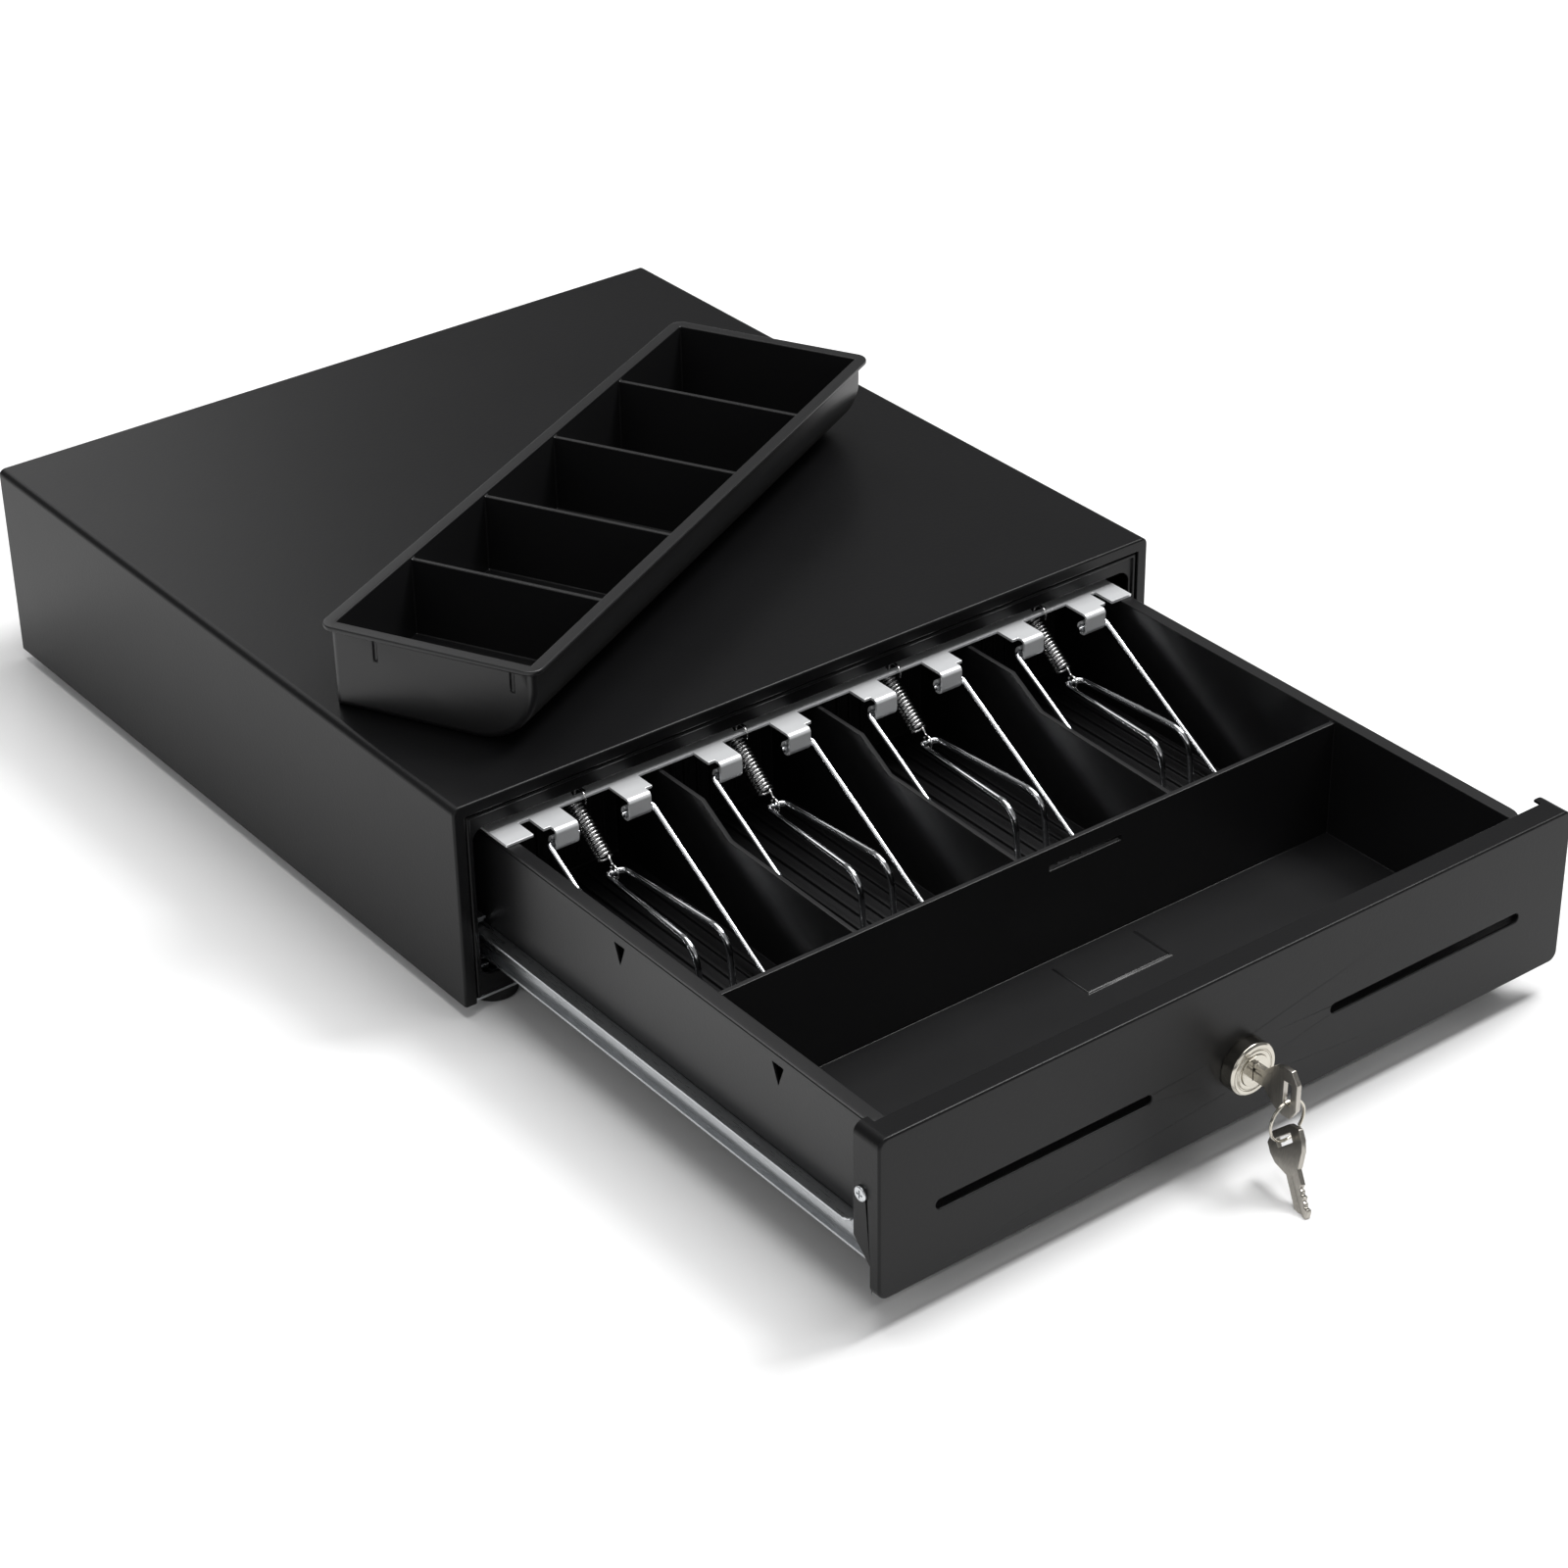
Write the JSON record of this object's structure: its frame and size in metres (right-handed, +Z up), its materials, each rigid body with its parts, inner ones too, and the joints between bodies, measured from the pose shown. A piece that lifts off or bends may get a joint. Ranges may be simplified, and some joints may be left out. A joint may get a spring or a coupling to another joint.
{
  "type": "cash drawer",
  "caption": "Counter-top cash drawer: steel casing, sliding drawer with note bays, wire clips and coin bay, key lock, solenoid latch and a loose coin tray.",
  "frame": {"origin": "on the counter, under the middle of the casing's footprint", "axes": "+X to the user's right as they face the drawer, -Y towards the user, +Z up"},
  "size_m": [0.33, 0.6213, 0.1269],
  "materials": {
    "painted_steel": "satin black powder coat",
    "black_plastic": "moulded, satin",
    "zinc_steel": "bright zinc plate",
    "nickel": "nickel plate",
    "chrome_wire": "bright",
    "black_screw": "black oxide",
    "rubber": "matt",
    "copper_coil": "taped winding",
    "nylon": "natural nylon"
  },
  "bodies": {
    "case": {"top_cover": "painted_steel", "front_frame": "painted_steel", "base_plate": "zinc_steel", "back_panel": "painted_steel", "rubber_feet": "rubber", "foot_screws": "zinc_steel", "case_screws": "black_screw", "cable_socket": "black_plastic", "slide_outer_left": "zinc_steel", "slide_outer_right": "zinc_steel", "latch_bracket": "zinc_steel", "latch_pin": "zinc_steel", "latch_spring": "chrome_wire", "solenoid_frame": "zinc_steel", "solenoid_coil": "copper_coil", "ejector_housing": "zinc_steel", "ejector_spring": "chrome_wire", "door_switch": "black_plastic"},
    "drawer": {"drawer_tub": "painted_steel", "front_panel": "painted_steel", "panel_screws": "zinc_steel", "till_insert": "black_plastic", "clip_rail": "zinc_steel", "slide_inner_left": "zinc_steel", "slide_inner_right": "zinc_steel", "striker": "zinc_steel", "lock_barrel": "nickel", "lock_nut": "zinc_steel", "clip_spring_1": "chrome_wire", "clip_spring_2": "chrome_wire", "clip_spring_3": "chrome_wire", "clip_spring_4": "chrome_wire"},
    "ball_cage_left": {"slide_cage_left": "zinc_steel", "slide_balls_left": "zinc_steel"},
    "ball_cage_right": {"slide_cage_right": "zinc_steel", "slide_balls_right": "zinc_steel"},
    "lock_core": {"lock_plug": "nickel", "lock_cam": "zinc_steel"},
    "key": {"key": "nickel"},
    "ring": {"key_ring": "nickel"},
    "spare_key": {"spare_key": "nickel"},
    "clip_1": {"bill_clip_1": "chrome_wire"},
    "clip_2": {"bill_clip_2": "chrome_wire"},
    "clip_3": {"bill_clip_3": "chrome_wire"},
    "clip_4": {"bill_clip_4": "chrome_wire"},
    "coin_tray": {"coin_tray": "black_plastic"},
    "latch": {"latch_lever": "zinc_steel"},
    "plunger": {"solenoid_plunger": "zinc_steel"},
    "ejector": {"ejector_rod": "nylon"},
    "switch_arm": {"switch_lever": "zinc_steel"}
  },
  "joints": [
    {"name": "drawer_slide", "type": "slide", "parent": "case", "child": "drawer", "axis": [0, -1, 0], "range_m": [-0.219, 0]},
    {"name": "cage_slide_left", "type": "slide", "parent": "case", "child": "ball_cage_left", "axis": [0, -1, 0], "range_m": [-0.1095, 0]},
    {"name": "cage_slide_right", "type": "slide", "parent": "case", "child": "ball_cage_right", "axis": [0, -1, 0], "range_m": [-0.1095, 0]},
    {"name": "lock_turn", "type": "hinge", "parent": "drawer", "child": "lock_core", "pos_m": [0, -0.405, 0.038], "axis": [0, 1, 0], "range_deg": [0, 90]},
    {"name": "key_pull", "type": "slide", "parent": "lock_core", "child": "key", "axis": [0, -1, 0], "range_m": [0, 0.02]},
    {"name": "ring_swing", "type": "hinge", "parent": "key", "child": "ring", "pos_m": [0, -0.4278, 0.03455], "axis": [1, 0, 0], "range_deg": [-35, 0]},
    {"name": "spare_key_swing", "type": "hinge", "parent": "ring", "child": "spare_key", "pos_m": [0, -0.4278, 0.01875], "axis": [1, 0, 0], "range_deg": [-20, 0]},
    {"name": "clip_lift_1", "type": "hinge", "parent": "drawer", "child": "clip_1", "pos_m": [-0.10845, -0.18085, 0.06675], "axis": [-1, 0, 0], "range_deg": [0, 70], "stiffness_Nm_per_rad": 0.02, "springref_deg": -34.38, "deforming": ["clip_spring_1"]},
    {"name": "clip_lift_2", "type": "hinge", "parent": "drawer", "child": "clip_2", "pos_m": [-0.03495, -0.18085, 0.06675], "axis": [-1, 0, 0], "range_deg": [0, 70], "stiffness_Nm_per_rad": 0.02, "springref_deg": -34.38, "deforming": ["clip_spring_2"]},
    {"name": "clip_lift_3", "type": "hinge", "parent": "drawer", "child": "clip_3", "pos_m": [0.03855, -0.18085, 0.06675], "axis": [-1, 0, 0], "range_deg": [0, 70], "stiffness_Nm_per_rad": 0.02, "springref_deg": -34.38, "deforming": ["clip_spring_3"]},
    {"name": "clip_lift_4", "type": "hinge", "parent": "drawer", "child": "clip_4", "pos_m": [0.11205, -0.18085, 0.06675], "axis": [-1, 0, 0], "range_deg": [0, 70], "stiffness_Nm_per_rad": 0.02, "springref_deg": -34.38, "deforming": ["clip_spring_4"]},
    {"name": "tray_lift", "type": "slide", "parent": "case", "child": "coin_tray", "axis": [0, 0, 1], "range_m": [0, 0.12]},
    {"name": "latch_swing", "type": "hinge", "parent": "case", "child": "latch", "pos_m": [0.009, 0.142, 0.0325], "axis": [0, 0, 1], "range_deg": [-17, 0]},
    {"name": "plunger_stroke", "type": "slide", "parent": "case", "child": "plunger", "axis": [-1, 0, 0], "range_m": [-0.00325, 0]},
    {"name": "ejector_push", "type": "slide", "parent": "case", "child": "ejector", "axis": [0, -1, 0], "range_m": [0, 0.012], "deforming": ["ejector_spring"]},
    {"name": "switch_arm_swing", "type": "hinge", "parent": "case", "child": "switch_arm", "pos_m": [-0.093, 0.1159, 0.04], "axis": [0, 0, -1], "range_deg": [0, 6]}
  ],
  "couplings": [
    {"joint": "cage_slide_left", "follows": "drawer_slide", "ratio": 0.5},
    {"joint": "cage_slide_right", "follows": "drawer_slide", "ratio": 0.5},
    {"joint": "latch_swing", "follows": "plunger_stroke", "rad_per_m": 90.909}
  ]
}
